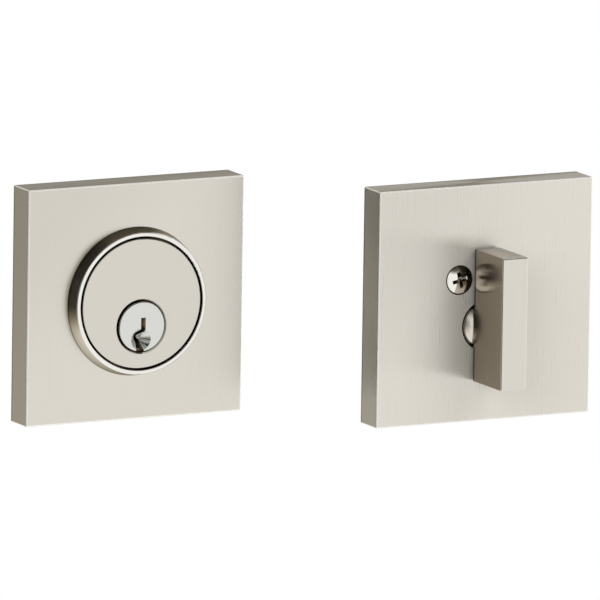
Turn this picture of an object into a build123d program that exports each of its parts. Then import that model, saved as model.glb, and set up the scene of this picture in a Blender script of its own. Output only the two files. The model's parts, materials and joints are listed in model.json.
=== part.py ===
from build123d import *
import math
import os

# Deadbolt trim set: exterior key cylinder and interior thumbturn, standing side by side.
# Millimetres. Both trims face -Y, +X is to the right and +Z is up.
# The origin is the centre of the exterior trim's door face.

# Square trims
PLATE_SIDE = 66.7
PLATE_DEPTH = 9.5
PLATE_WALL = 2.4
PLATE_EDGE = 0.45
INNER_CORNER = 2.0
UNIT_GAP = 22.5
UNIT_ADVANCE = 38.9

# Backing plates and the cast bosses that carry them
BACKING_THICKNESS = 2.0
BACKING_INSET = 2.2
BACKING_PLAY = 0.4
BOSS_RADIUS = 3.2
BOSS_INSET = 4.4

# Turning axis and the two door bolts
AXIS_DROP = 6.5
BOLT_X = 8.1
BOLT_Z = 6.9

# Guard collar
COLLAR_PROUD = 4.0
COLLAR_TAPER = 1.0
LIP_WIDTH = 1.15
LIP_ROUND = 0.3
LIP_INNER_ROUND = 0.2
SKIRT_STEP = 1.3
SKIRT_FIT = 0.1

# Cylinder body
FACE_RADIUS = 18.3
FACE_THICKNESS = 3.0
FACE_RECESS = 0.05
FACE_GAP = 0.55
FACE_EDGE = 0.3
SEAT_WIDTH = 2.0
HOUSING_WALL = 3.0
BIBLE_TO_POST = 0.6
BODY_PLAY = 0.3
PLUG_CHAMFER = 0.65

# Key plug
PLUG_RADIUS = 6.35
PLUG_FIT = 0.05
HEAD_STEP = 0.65
HEAD_GAP = 0.12
HEAD_THICKNESS = 2.0
HEAD_EDGE = 0.25
PLUG_PROUD = 0.4
KEYWAY_WIDTH = 1.4
KEYWAY_TOP = 2.5
KEYWAY_SHIFT = 0.4
WARD_TOP = 0.85
WARD_SHIFT = 2.0
WARD_RISE = 1.1
WARD_DEPTH = 1.3
MOUTH_WIDTH = 2.6
SCOOP_RADIUS = 3.0
SCOOP_DEPTH = 2.8
SCOOP_DROP = 3.6
SCOOP_OFFSET = 0.3

# Pin stacks
PIN_COUNT = 5
PIN_PITCH = 3.96
FIRST_PIN = 6.5
LAST_PIN_TO_BACK = 3.9
PIN_RADIUS = 1.45
PIN_FIT = 0.05
KEY_PIN_LENGTHS = (4.6, 5.4, 4.2, 5.0, 5.7)
KEY_PIN_TIP = 0.9
KEY_PIN_TIP_RADIUS = 0.5
SHEAR_CLEARANCE = 0.03
DRIVER_LENGTH = 5.0
DRIVER_EDGE = 0.2
SPRING_LENGTH = 4.0
SPRING_TURNS = 4
SPRING_WIRE = 0.4
SPRING_PLAY = 0.15
COVER_THICKNESS = 0.8
COVER_LEDGE = 0.7

# Plug cap and tailpiece
CAP_GAP = 0.3
CAP_SKIRT = 3.4
CAP_WALL = 1.8
CAP_END = 1.4
CAP_NOTCHES = 10
CAP_NOTCH_RADIUS = 0.7
POCKET_RADIUS = 4.8
POCKET_DEPTH = 3.2
TAIL_FIT = 0.08
TAIL_DISC = 1.4
LUG_INNER_RADIUS = 1.6
LUG_ANGLE = 90.0
LUG_PLAY_ANGLE = 2.0
TAIL_WIDTH = 6.6
TAIL_THICKNESS = 2.4
TAIL_REACH = 48.0
TAIL_SCORES = 4
TAIL_SCORE_PITCH = 6.35
TAIL_SCORE_DEPTH = 0.4

# Posts and screws
POST_RADIUS = 3.0
POST_SPIGOT_RADIUS = 2.2
POST_REACH = 20.0
POST_BORE_RADIUS = 2.05
POST_BORE_DEPTH = 14.0
POST_MOUTH = 0.4
SCREW_FIT = 0.05
HOLE_CLEARANCE = 0.25
CYLINDER_SCREW_RADIUS = 2.0
CYLINDER_SCREW_GRIP = 5.0
CYLINDER_SCREW_ANGLE = -9.0
CYLINDER_BOSS_WALL = 1.1
PLATE_SCREW_RADIUS = 1.5
PLATE_SCREW_GRIP = 3.3
PAN_HEAD_RATIO = 1.75
PAN_HEAD_HEIGHT = 1.9
BOLT_RADIUS = 2.4
BOLT_NECK_RADIUS = 2.1
BOLT_HEAD_RADIUS = 3.8
BOLT_HEAD_HEIGHT = 1.5
BOLT_HEAD_RIM = 0.8
BOLT_HEAD_GAP = 0.4
BOLT_SINK = 0.9
BOLT_LENGTH = 44.0
BOLT_BOSS_WALL = 2.2
BOLT_CROSS_TURN = 18.0
SCREW_TIP = 0.6
CROSS_SPAN = 1.7
CROSS_ARM = 0.16

# Thumbturn and what holds it
TURN_WIDTH = 8.0
TURN_DEPTH = 17.0
TURN_HEIGHT = 37.3
TURN_LIFT = 3.35
TURN_STANDOFF = 1.0
TURN_EDGE = 0.35
HUB_RADIUS = 6.6
HUB_GAP = 0.45
HUB_RIM = 0.5
HUB_SINK = 0.2
HUB_DOME = 14.0
SPINDLE_RADIUS = 5.0
SPINDLE_PROUD = 0.6
SOCKET_PLAY = 0.25
SOCKET_DEPTH = 7.6
BUSH_FIT = 0.05
BUSH_WALL = 1.3
BUSH_FLANGE = 1.2
BUSH_FLANGE_STEP = 2.2
WASHER_HEIGHT = 1.6
WASHER_THICKNESS = 0.6
WASHER_WIDTH = 2.8
WASHER_PLAY = 0.05
CLIP_THICKNESS = 0.8
CLIP_WIDTH = 2.3
CLIP_GROOVE = 0.6
CLIP_PLAY = 0.05
CLIP_OPENING = 6.0

# Levels along Y, from the front of the trims to the end of the tailpiece
FRONT = -PLATE_DEPTH
WALL_BACK = FRONT + PLATE_WALL
BACKING_BACK = -BACKING_INSET
BACKING_FRONT = BACKING_BACK - BACKING_THICKNESS
LIP_FRONT = FRONT - COLLAR_PROUD
FACE_FRONT = LIP_FRONT + FACE_RECESS
FACE_BACK = FACE_FRONT + FACE_THICKNESS
PLUG_FRONT = FACE_FRONT - PLUG_PROUD
HEAD_BACK = PLUG_FRONT + HEAD_THICKNESS
PIN_YS = [FACE_FRONT + FIRST_PIN + i * PIN_PITCH for i in range(PIN_COUNT)]
CYLINDER_BACK = PIN_YS[-1] + LAST_PIN_TO_BACK
CAP_FRONT = CYLINDER_BACK + CAP_GAP
PLUG_BACK = CAP_FRONT + CAP_SKIRT
POCKET_FLOOR = PLUG_BACK - POCKET_DEPTH
TURN_BACK = FRONT - TURN_STANDOFF
BUSH_FRONT = BACKING_FRONT - BUSH_FLANGE
WASHER_FRONT = BUSH_FRONT - WASHER_HEIGHT
HUB_BACK = WASHER_FRONT - WASHER_PLAY
BOLT_SEAT = FRONT + BOLT_SINK
CLIP_FRONT = BACKING_BACK + CLIP_PLAY

# Heights along Z, from the turning axis to the top of the pin bible
AXIS_Z = -AXIS_DROP
PLUG_BORE = PLUG_RADIUS + PLUG_FIT
CHAMBER_RADIUS = PIN_RADIUS + PIN_FIT
KEY_PIN_TOP = AXIS_Z + math.sqrt(PLUG_RADIUS**2 - PIN_RADIUS**2) - SHEAR_CLEARANCE
CHAMBER_FLOOR = KEY_PIN_TOP - max(KEY_PIN_LENGTHS) - PIN_FIT
DRIVER_BOTTOM = AXIS_Z + PLUG_BORE
DRIVER_TOP = DRIVER_BOTTOM + DRIVER_LENGTH
COVER_BOTTOM = DRIVER_TOP + SPRING_LENGTH
BIBLE_TOP = COVER_BOTTOM + COVER_THICKNESS

# Radii and places that follow from the sizes above
INNER_SIDE = PLATE_SIDE - 2 * PLATE_WALL
BACKING_SIDE = INNER_SIDE - 2 * BACKING_PLAY
BOSS_REACH = INNER_SIDE / 2 - BOSS_INSET
COLLAR_BORE = FACE_RADIUS + FACE_GAP
LIP_RADIUS = COLLAR_BORE + LIP_WIDTH
COLLAR_RADIUS = LIP_RADIUS + COLLAR_TAPER
SKIRT_RADIUS = COLLAR_RADIUS - SKIRT_STEP
SEAT_BORE = FACE_RADIUS - SEAT_WIDTH
HEAD_RADIUS = PLUG_RADIUS + HEAD_STEP
HEAD_BORE = HEAD_RADIUS + HEAD_GAP
HOUSING_RADIUS = PLUG_BORE + HOUSING_WALL
BIBLE_HALF = BOLT_X - POST_RADIUS - BIBLE_TO_POST
CYLINDER_SCREW_HEAD = CYLINDER_SCREW_RADIUS * PAN_HEAD_RATIO
CYLINDER_BOSS = CYLINDER_SCREW_RADIUS + SCREW_FIT + CYLINDER_BOSS_WALL
CYLINDER_SCREW_REACH = SEAT_BORE - BODY_PLAY - CYLINDER_BOSS
CYLINDER_SCREW_X = CYLINDER_SCREW_REACH * math.cos(math.radians(CYLINDER_SCREW_ANGLE))
CYLINDER_SCREW_Z = CYLINDER_SCREW_REACH * math.sin(math.radians(CYLINDER_SCREW_ANGLE))
HUB_NECK = TURN_WIDTH / 2 - 2 * TURN_EDGE
HUB_DOME_Y = TURN_BACK + math.sqrt(HUB_DOME**2 - HUB_NECK**2)
BUSH_BORE = SPINDLE_RADIUS + BUSH_FIT
BUSH_RADIUS = BUSH_BORE + BUSH_WALL
BOLT_BOSS = BOLT_RADIUS + HOLE_CLEARANCE + BOLT_BOSS_WALL
INTERIOR = Pos(PLATE_SIDE + UNIT_GAP, -UNIT_ADVANCE, 0)
SIDES = (-1, 1)


def rod(radius, front, back, x=0.0, z=0.0):
    """A round bar along Y."""
    bar = Cylinder(radius, back - front, align=(Align.CENTER, Align.CENTER, Align.MIN))
    return Pos(x, front, z) * Rot(-90, 0, 0) * bar


def post(radius, bottom, top, y):
    """A round bar along Z."""
    bar = Cylinder(radius, top - bottom, align=(Align.CENTER, Align.CENTER, Align.MIN))
    return Pos(0, y, bottom) * bar


def slab(outline, front, back):
    """An outline in X and Z made solid between two levels along Y."""
    return extrude(Plane((0, back, 0), (1, 0, 0), (0, -1, 0)) * outline, amount=back - front)


def turned(corners, x=0.0, z=0.0):
    """A solid of revolution about an axis along Y, from corners of radius and level."""
    return Pos(x, 0, z) * revolve(make_face(Polyline(*corners, close=True)), Axis.Y)


def rim(solid, radius, level):
    """The round edges of one radius at one level along Y."""
    near = 1e-4
    return [
        edge
        for edge in solid.edges().filter_by(GeomType.CIRCLE)
        if abs(edge.radius - radius) < near and abs(edge.arc_center.Y - level) < near
    ]


def boss_places():
    """The four corner bosses of a trim, as X and Z."""
    return [(sx * BOSS_REACH, sz * BOSS_REACH) for sx in SIDES for sz in SIDES]


def bolt_places():
    """The two door bolts, as X and Z."""
    return [(side * BOLT_X, BOLT_Z) for side in SIDES]


def cylinder_screw_places():
    """The two cylinder screws, as X and Z."""
    return [(side * CYLINDER_SCREW_X, CYLINDER_SCREW_Z) for side in SIDES]


def rosette_shell():
    """A square cast trim, open behind, with a boss in each corner."""
    shell = slab(Rectangle(PLATE_SIDE, PLATE_SIDE), FRONT, 0)
    door_edges = shell.edges().group_by(Axis.Y)[-1]
    shell = fillet([e for e in shell.edges() if e not in door_edges], PLATE_EDGE)
    shell -= slab(RectangleRounded(INNER_SIDE, INNER_SIDE, INNER_CORNER), WALL_BACK, 0)
    for x, z in boss_places():
        shell += rod(BOSS_RADIUS, WALL_BACK, BACKING_FRONT, x, z)
    return shell


def exterior_rosette():
    return rosette_shell() - rod(SKIRT_RADIUS + SKIRT_FIT, FRONT, WALL_BACK)


def interior_rosette():
    shell = rosette_shell()
    shell -= rod(HUB_RADIUS + HUB_GAP, FRONT, WALL_BACK, z=AXIS_Z)
    for x, z in bolt_places():
        shell += rod(BOLT_BOSS, WALL_BACK, BACKING_FRONT, x, z)
        shell -= rod(BOLT_HEAD_RADIUS + BOLT_HEAD_GAP, FRONT, BOLT_SEAT, x, z)
        shell -= rod(BOLT_RADIUS + HOLE_CLEARANCE, BOLT_SEAT, BACKING_FRONT, x, z)
    hole = PLATE_SCREW_RADIUS + SCREW_FIT
    for x, z in boss_places():
        shell -= rod(hole, BACKING_FRONT - PLATE_SCREW_GRIP, BACKING_FRONT, x, z)
    return shell


def cylinder_collar():
    """Guard ring: tapered outside, rounded lip, and an inner seat for the cylinder's face."""
    ring = turned(
        [
            (SEAT_BORE, WALL_BACK),
            (SEAT_BORE, FACE_BACK),
            (COLLAR_BORE, FACE_BACK),
            (COLLAR_BORE, LIP_FRONT),
            (LIP_RADIUS, LIP_FRONT),
            (COLLAR_RADIUS, FRONT),
            (SKIRT_RADIUS, FRONT),
            (SKIRT_RADIUS, WALL_BACK),
        ]
    )
    ring = fillet(rim(ring, LIP_RADIUS, LIP_FRONT), LIP_ROUND)
    return fillet(rim(ring, COLLAR_BORE, LIP_FRONT), LIP_INNER_ROUND)


def body_outline(play=0.0):
    """The plug housing and the pin bible above it, turned down to pass the collar's seat, in X and Z."""
    housing = Pos(0, AXIS_Z) * Circle(HOUSING_RADIUS + play)
    height = BIBLE_TOP - AXIS_Z + play
    bible = Rectangle(2 * (BIBLE_HALF + play), height, align=(Align.CENTER, Align.MIN))
    return (housing + Pos(0, AXIS_Z) * bible) & Circle(SEAT_BORE - BODY_PLAY + play)


def cover_strip(play=0.0):
    """The strip that closes the tops of the pin chambers."""
    ledge = CHAMBER_RADIUS + COVER_LEDGE + play
    length = PIN_YS[-1] - PIN_YS[0] + 2 * ledge
    middle = (PIN_YS[0] + PIN_YS[-1]) / 2
    strip = Box(2 * ledge, length, COVER_THICKNESS, align=(Align.CENTER, Align.CENTER, Align.MIN))
    return Pos(0, middle, COVER_BOTTOM) * strip


def cylinder_body():
    """Face disc, plug housing, pin bible and two screw bosses in one casting."""
    body = rod(FACE_RADIUS, FACE_FRONT, FACE_BACK)
    body = fillet(rim(body, FACE_RADIUS, FACE_FRONT), FACE_EDGE)
    body += slab(body_outline(), FACE_BACK, CYLINDER_BACK)
    for x, z in cylinder_screw_places():
        body += rod(CYLINDER_BOSS, FACE_BACK, BACKING_FRONT, x, z)
        hole = CYLINDER_SCREW_RADIUS + SCREW_FIT
        body -= rod(hole, BACKING_FRONT - CYLINDER_SCREW_GRIP - SCREW_FIT, BACKING_FRONT, x, z)
        body -= rod(CYLINDER_SCREW_HEAD + BODY_PLAY, BACKING_BACK, CYLINDER_BACK, x, z)
    body -= rod(PLUG_BORE, FACE_FRONT, CYLINDER_BACK, z=AXIS_Z)
    body -= rod(HEAD_BORE, FACE_FRONT, HEAD_BACK + PLUG_FIT, z=AXIS_Z)
    mouth = [
        (0, FACE_FRONT),
        (HEAD_BORE + PLUG_CHAMFER, FACE_FRONT),
        (HEAD_BORE, FACE_FRONT + PLUG_CHAMFER),
        (0, FACE_FRONT + PLUG_CHAMFER),
    ]
    body -= turned(mouth, z=AXIS_Z)
    for y in PIN_YS:
        body -= post(CHAMBER_RADIUS, AXIS_Z, BIBLE_TOP, y)
    return body - cover_strip(PIN_FIT)


def keyway_outline():
    """The warded key slot, from its top down to its mouth at the bottom of the plug."""
    half = KEYWAY_WIDTH / 2
    ward_bottom = -WARD_TOP - WARD_RISE - WARD_DEPTH
    mouth_right = -WARD_SHIFT / 2 + MOUTH_WIDTH / 2
    mouth_left = -WARD_SHIFT / 2 - MOUTH_WIDTH / 2
    bottom = -HEAD_RADIUS - HEAD_GAP
    corners = [
        (-half, KEYWAY_TOP),
        (half, KEYWAY_TOP),
        (half, -WARD_TOP - half),
        (half - WARD_SHIFT, -WARD_TOP - WARD_RISE - half),
        (half - WARD_SHIFT, ward_bottom),
        (half - WARD_SHIFT / 2, ward_bottom - half),
        (mouth_right, bottom),
        (mouth_left, bottom),
        (-half - WARD_SHIFT / 2, ward_bottom - WARD_RISE),
        (-half - WARD_SHIFT, ward_bottom),
        (-half - WARD_SHIFT, -WARD_TOP - WARD_RISE),
        (-half, -WARD_TOP),
    ]
    return Pos(KEYWAY_SHIFT, AXIS_Z) * make_face(Polyline(*corners, close=True))


def key_scoop():
    """The coned relief that leads the key into the lower keyway."""
    corners = [(0, PLUG_FRONT), (SCOOP_RADIUS, PLUG_FRONT), (0, PLUG_FRONT + SCOOP_DEPTH)]
    return turned(corners, x=-SCOOP_OFFSET, z=AXIS_Z - SCOOP_DROP)


def lug_outline(outer, angle, facing):
    """A ring sector in X and Z: facing is 1 for a lug above the axis, -1 for below."""
    ring = Circle(outer) - Circle(LUG_INNER_RADIUS)
    half = math.radians(angle / 2)
    far = 2 * outer
    wedge = Polyline(
        (0, 0),
        (far * math.sin(half), facing * far * math.cos(half)),
        (-far * math.sin(half), facing * far * math.cos(half)),
        close=True,
    )
    return Pos(0, AXIS_Z) * (ring & make_face(wedge))


def key_plug():
    """The turning plug: head, keyway, pin chambers and a rear pocket with its drive lug."""
    plug = rod(HEAD_RADIUS, PLUG_FRONT, HEAD_BACK)
    plug = fillet(rim(plug, HEAD_RADIUS, PLUG_FRONT), HEAD_EDGE)
    plug += rod(PLUG_RADIUS, HEAD_BACK, PLUG_BACK)
    plug -= Pos(0, 0, -AXIS_Z) * slab(keyway_outline(), PLUG_FRONT, PIN_YS[-1] + CHAMBER_RADIUS)
    plug = Pos(0, 0, AXIS_Z) * plug
    plug -= key_scoop()
    for y in PIN_YS:
        plug -= post(CHAMBER_RADIUS, CHAMBER_FLOOR, AXIS_Z + PLUG_RADIUS, y)
    plug -= rod(POCKET_RADIUS, POCKET_FLOOR, PLUG_BACK, z=AXIS_Z)
    lug_back = PLUG_BACK - TAIL_DISC - 2 * TAIL_FIT
    return plug + slab(lug_outline(POCKET_RADIUS, LUG_ANGLE, -1), POCKET_FLOOR, lug_back)


def key_pin(length, y):
    """A bottom pin with a coned tip, its flat top at the shear line."""
    bottom = KEY_PIN_TOP - length
    tip = Cone(KEY_PIN_TIP_RADIUS, PIN_RADIUS, KEY_PIN_TIP, align=(Align.CENTER, Align.CENTER, Align.MIN))
    return Pos(0, y, bottom) * tip + post(PIN_RADIUS, bottom + KEY_PIN_TIP, KEY_PIN_TOP, y)


def driver_pin(y):
    pin = post(PIN_RADIUS, DRIVER_BOTTOM, DRIVER_TOP, y)
    return chamfer(pin.edges().filter_by(GeomType.CIRCLE), DRIVER_EDGE)


def biarc(start, start_way, end, end_way):
    """Two arcs that join two points and keep a given direction at each."""
    span = end - start
    ways = start_way + end_way
    a = ways.dot(ways) - 4
    b = -2 * span.dot(ways)
    c = span.dot(span)
    reach = (-b - math.sqrt(b * b - 4 * a * c)) / (2 * a)
    first = start + start_way * reach
    last = end - end_way * reach
    joint = (first + last) * 0.5
    return [
        TangentArc(start, joint, tangent=start_way),
        TangentArc(joint, end, tangent=last - first),
    ]


def pin_spring(y):
    """A coil of square wire between a driver pin and the chamber cover."""
    radius = PIN_RADIUS - SPRING_WIRE / 2 - SPRING_PLAY
    play = SPRING_WIRE / 2 + PIN_FIT
    rise = SPRING_LENGTH - 2 * play
    halves = 2 * SPRING_TURNS
    slope = rise / (2 * math.pi * SPRING_TURNS)

    def place(i):
        return Vector(radius * (-1) ** i, y, DRIVER_TOP + play + rise * i / halves)

    def way(i):
        return Vector(0, radius * (-1) ** i, slope).normalized()

    path = []
    for i in range(halves):
        path += biarc(place(i), way(i), place(i + 1), way(i + 1))
    section = Plane(place(0), (1, 0, 0), way(0)) * Rectangle(SPRING_WIRE, SPRING_WIRE)
    return sweep(section, path=Wire(path))


def plug_cap():
    """Cap threaded over the plug's end, with a notched rim and a hole for the tailpiece."""
    outer = PLUG_BORE + CAP_WALL
    mouth = POCKET_RADIUS - CAP_END / 2
    cap = turned(
        [
            (PLUG_BORE, CAP_FRONT),
            (PLUG_BORE, PLUG_BACK),
            (mouth, PLUG_BACK),
            (mouth, PLUG_BACK + CAP_END),
            (outer, PLUG_BACK + CAP_END),
            (outer, CAP_FRONT),
        ]
    )
    notch = rod(CAP_NOTCH_RADIUS, CAP_FRONT, PLUG_BACK + CAP_END, x=outer)
    for i in range(CAP_NOTCHES):
        cap -= Rot(0, 360 / CAP_NOTCHES * i, 0) * notch
    return Pos(0, 0, AXIS_Z) * cap


def tailpiece():
    """Flat blade on a disc whose lug meets the plug's lug after a free quarter turn."""
    disc_radius = POCKET_RADIUS - TAIL_FIT
    disc_back = PLUG_BACK - TAIL_FIT
    disc_front = disc_back - TAIL_DISC
    tail = rod(disc_radius, disc_front, disc_back, z=AXIS_Z)
    lug = lug_outline(disc_radius, LUG_ANGLE - LUG_PLAY_ANGLE, 1)
    tail += slab(lug, POCKET_FLOOR + TAIL_FIT, disc_front)
    blade = Pos(0, AXIS_Z) * Rectangle(TAIL_THICKNESS, TAIL_WIDTH)
    tail += slab(blade, disc_back, TAIL_REACH)
    for i in range(TAIL_SCORES):
        y = TAIL_REACH - TAIL_SCORE_PITCH * (i + 1)
        groove = Rot(0, 0, 45) * Box(TAIL_SCORE_DEPTH * 2**0.5, TAIL_SCORE_DEPTH * 2**0.5, TAIL_WIDTH)
        for side in SIDES:
            tail -= Pos(side * TAIL_THICKNESS / 2, y, AXIS_Z) * groove
    return tail


def backing_plate():
    """A square steel plate that lies on the corner bosses inside a trim."""
    return slab(RectangleRounded(BACKING_SIDE, BACKING_SIDE, INNER_CORNER), BACKING_FRONT, BACKING_BACK)


def exterior_backing_plate():
    plate = backing_plate() - slab(body_outline(BODY_PLAY), BACKING_FRONT, BACKING_BACK)
    for x, z in bolt_places():
        plate -= rod(POST_SPIGOT_RADIUS + SCREW_FIT, BACKING_FRONT, BACKING_BACK, x, z)
    for x, z in cylinder_screw_places():
        plate -= rod(CYLINDER_SCREW_RADIUS + HOLE_CLEARANCE, BACKING_FRONT, BACKING_BACK, x, z)
    return plate


def interior_backing_plate():
    plate = backing_plate() - rod(BUSH_RADIUS + BUSH_FIT, BACKING_FRONT, BACKING_BACK, z=AXIS_Z)
    for x, z in bolt_places():
        plate -= rod(BOLT_RADIUS + HOLE_CLEARANCE, BACKING_FRONT, BACKING_BACK, x, z)
    for x, z in boss_places():
        plate -= rod(PLATE_SCREW_RADIUS + HOLE_CLEARANCE, BACKING_FRONT, BACKING_BACK, x, z)
    return plate


def mounting_post(x, z):
    """A tapped post on a spigot through the backing plate."""
    bore_end = POST_REACH - POST_BORE_DEPTH
    body = rod(POST_RADIUS, BACKING_BACK, POST_REACH, x, z)
    body += rod(POST_SPIGOT_RADIUS, BACKING_FRONT, BACKING_BACK, x, z)
    body -= rod(POST_BORE_RADIUS, bore_end, POST_REACH, x, z)
    return chamfer(rim(body, POST_BORE_RADIUS, POST_REACH), POST_MOUTH)


def cross_recess(span, depth):
    """A tapered cross that opens at Y = 0 and narrows into a screw's head."""
    arm = CROSS_ARM * span
    lead = depth / 4
    wing = make_face(
        Polyline((-span / 2, -lead), (span / 2, -lead), (arm / 2, depth), (-arm / 2, depth), close=True)
    )
    wing = extrude(wing, amount=arm / 2, both=True)
    return wing + Rot(0, 90, 0) * wing


def screw(radius, length, head_radius, head_height, head_rim):
    """A round-headed cross-recess screw: seat at Y = 0, head towards -Y."""
    crown = head_height - head_rim
    sphere = (head_radius**2 + crown**2) / (2 * crown)
    bulge = sphere - math.sqrt(sphere**2 - (head_radius / 2) ** 2)
    top = (0, -head_height)
    shoulder = (head_radius, -head_rim)
    dome = ThreePointArc(top, (head_radius / 2, bulge - head_height), shoulder)
    rest = Polyline(
        shoulder,
        (head_radius, 0),
        (radius, 0),
        (radius, length - SCREW_TIP),
        (radius - SCREW_TIP, length),
        (0, length),
        top,
    )
    solid = revolve(make_face([dome, rest]), Axis.Y)
    return solid - Pos(0, -head_height, 0) * cross_recess(CROSS_SPAN * head_radius, head_height)


def pan_screw(radius, length):
    """A small screw driven from behind, so its head faces +Y."""
    body = screw(radius, length, PAN_HEAD_RATIO * radius, PAN_HEAD_HEIGHT, PAN_HEAD_HEIGHT / 3)
    return Rot(0, 0, 180) * body


def thumbturn_hub():
    """A low dome inside a flat rim, with the stepped spindle behind."""
    rim_front = FRONT + HUB_SINK
    spindle = turned(
        [
            (0, rim_front),
            (HUB_RADIUS, rim_front),
            (HUB_RADIUS, HUB_BACK),
            (SPINDLE_RADIUS, HUB_BACK),
            (SPINDLE_RADIUS, SPINDLE_PROUD),
            (0, SPINDLE_PROUD),
        ]
    )
    dome = Pos(0, HUB_DOME_Y, 0) * Sphere(HUB_DOME)
    return spindle + (dome & rod(HUB_RADIUS - HUB_RIM, TURN_BACK - TURN_EDGE, rim_front + HUB_SINK))


def thumbturn():
    """Rectangular grip on a domed hub, with a slotted spindle behind it."""
    grip = Box(TURN_WIDTH, TURN_DEPTH, TURN_HEIGHT, align=(Align.CENTER, Align.MAX, Align.CENTER))
    grip = fillet(grip.edges(), TURN_EDGE)
    turn = Pos(0, TURN_BACK, AXIS_Z + TURN_LIFT) * grip
    turn += Pos(0, 0, AXIS_Z) * thumbturn_hub()
    groove_back = CLIP_FRONT + CLIP_THICKNESS + 2 * CLIP_PLAY
    groove = rod(SPINDLE_RADIUS + CLIP_PLAY, CLIP_FRONT - CLIP_PLAY, groove_back, z=AXIS_Z)
    turn -= groove - rod(SPINDLE_RADIUS - CLIP_GROOVE, CLIP_FRONT - CLIP_PLAY, groove_back, z=AXIS_Z)
    socket = Rectangle(TAIL_THICKNESS + 2 * SOCKET_PLAY, TAIL_WIDTH + 2 * SOCKET_PLAY)
    return turn - slab(Pos(0, AXIS_Z) * socket, SPINDLE_PROUD - SOCKET_DEPTH, SPINDLE_PROUD)


def turn_bushing():
    """Flanged nylon sleeve in the interior backing plate."""
    return turned(
        [
            (BUSH_BORE, BUSH_FRONT),
            (BUSH_BORE, BACKING_BACK),
            (BUSH_RADIUS, BACKING_BACK),
            (BUSH_RADIUS, BACKING_FRONT),
            (BUSH_RADIUS + BUSH_FLANGE_STEP, BACKING_FRONT),
            (BUSH_RADIUS + BUSH_FLANGE_STEP, BUSH_FRONT),
        ],
        z=AXIS_Z,
    )


def spring_washer():
    """Conical washer between the hub's shoulder and the bush."""
    inner = BUSH_BORE + BUSH_FIT
    outer = inner + WASHER_WIDTH
    return turned(
        [
            (inner, WASHER_FRONT),
            (inner, WASHER_FRONT + WASHER_THICKNESS),
            (outer, BUSH_FRONT),
            (outer, BUSH_FRONT - WASHER_THICKNESS),
        ],
        z=AXIS_Z,
    )


def retaining_clip():
    """Open snap ring in the spindle's groove."""
    inner = SPINDLE_RADIUS - CLIP_GROOVE + CLIP_PLAY
    outer = inner + CLIP_WIDTH
    opening = Pos(0, -outer) * Rectangle(CLIP_OPENING, 2 * outer)
    ring = Circle(outer) - Circle(inner) - opening
    return slab(Pos(0, AXIS_Z) * ring, CLIP_FRONT, CLIP_FRONT + CLIP_THICKNESS)


def cylinder_screws():
    screws = pan_screw(CYLINDER_SCREW_RADIUS, BACKING_THICKNESS + CYLINDER_SCREW_GRIP)
    return [Pos(x, BACKING_BACK, z) * screws for x, z in cylinder_screw_places()]


def plate_screws():
    screws = pan_screw(PLATE_SCREW_RADIUS, BACKING_THICKNESS + PLATE_SCREW_GRIP - SCREW_FIT)
    return [INTERIOR * Pos(x, BACKING_BACK, z) * screws for x, z in boss_places()]


def mounting_screws():
    """Long screws with a plain neck inside the trim and thread from the door face on."""
    bolt = screw(BOLT_RADIUS, BOLT_LENGTH, BOLT_HEAD_RADIUS, BOLT_HEAD_HEIGHT, BOLT_HEAD_RIM)
    neck_end = -BOLT_SEAT
    bolt -= rod(BOLT_RADIUS + HOLE_CLEARANCE, 0, neck_end) - rod(BOLT_NECK_RADIUS, 0, neck_end)
    bolt = Rot(0, BOLT_CROSS_TURN, 0) * bolt
    return [INTERIOR * Pos(x, BOLT_SEAT, z) * bolt for x, z in bolt_places()]


NODES = {
    "exterior_rosette": exterior_rosette(),
    "cylinder_collar": cylinder_collar(),
    "cylinder_body": cylinder_body(),
    "key_plug": key_plug(),
    "key_pins": [key_pin(length, y) for length, y in zip(KEY_PIN_LENGTHS, PIN_YS)],
    "driver_pins": [driver_pin(y) for y in PIN_YS],
    "pin_springs": [pin_spring(y) for y in PIN_YS],
    "chamber_cover": cover_strip(),
    "plug_cap": plug_cap(),
    "tailpiece": tailpiece(),
    "exterior_backing_plate": exterior_backing_plate(),
    "mounting_posts": [mounting_post(x, z) for x, z in bolt_places()],
    "cylinder_screws": cylinder_screws(),
    "interior_rosette": INTERIOR * interior_rosette(),
    "thumbturn": INTERIOR * thumbturn(),
    "turn_bushing": INTERIOR * turn_bushing(),
    "spring_washer": INTERIOR * spring_washer(),
    "retaining_clip": INTERIOR * retaining_clip(),
    "interior_backing_plate": INTERIOR * interior_backing_plate(),
    "plate_screws": plate_screws(),
    "mounting_screws": mounting_screws(),
}

os.makedirs("parts", exist_ok=True)
for node, shape in NODES.items():
    if isinstance(shape, list):
        shape = Compound(children=shape)
    export_step(shape, f"parts/{node}.step")
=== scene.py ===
import json
import math

import bmesh
import bpy
from bpy.props import FloatProperty, FloatVectorProperty, PointerProperty
from mathutils import Matrix, Vector


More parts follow.
